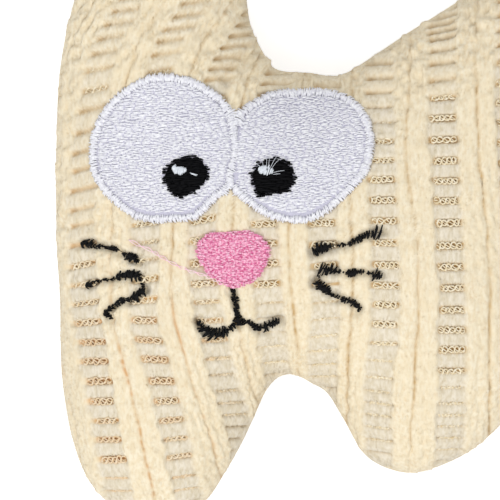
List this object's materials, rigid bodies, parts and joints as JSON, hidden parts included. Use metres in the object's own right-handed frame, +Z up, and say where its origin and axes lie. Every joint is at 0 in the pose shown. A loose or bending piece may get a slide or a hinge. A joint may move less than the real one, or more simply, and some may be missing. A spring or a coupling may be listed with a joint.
{
  "type": "plush cat toy",
  "caption": "Flat stuffed cat of cream chenille knit, with two ears, two feet and an embroidered face, filled with fibre round a squeaker.",
  "frame": {"origin": "under the middle of the outline, on the surface that the toy lies on", "axes": "+X to the viewer's right, +Y towards the ears, +Z up out of the face"},
  "size_m": [0.1144, 0.1334, 0.0353],
  "materials": {
    "knit": "soft chenille pile",
    "cream_thread": "matte",
    "white_thread": "satin sheen",
    "black_thread": "satin sheen",
    "pink_thread": "satin sheen",
    "backing": "matte",
    "fibre": "fluffy",
    "squeaker_plastic": "matte",
    "reed_film": "smooth"
  },
  "bodies": {
    "root": {"front_panel": "knit", "back_panel": "knit", "seam_thread": "cream_thread", "closing_thread": "cream_thread", "eye_border_left": "white_thread", "eye_border_right": "white_thread", "eye_white_left": "white_thread", "eye_white_right": "white_thread", "pupil_left": "black_thread", "pupil_right": "black_thread", "glint_left": "white_thread", "glint_right": "white_thread", "nose": "pink_thread", "mouth": "black_thread", "whisker_left_upper": "black_thread", "whisker_left_lower": "black_thread", "whisker_right_upper": "black_thread", "whisker_right_lower": "black_thread", "embroidery_backing": "backing", "squeaker_bulb": "squeaker_plastic", "squeaker_plug": "squeaker_plastic", "squeaker_reed": "reed_film", "filling_body_front": "fibre", "filling_body_back": "fibre", "filling_ear_left": "fibre", "filling_ear_right": "fibre", "filling_foot_left": "fibre", "filling_foot_right": "fibre"}
  },
  "joints": []
}
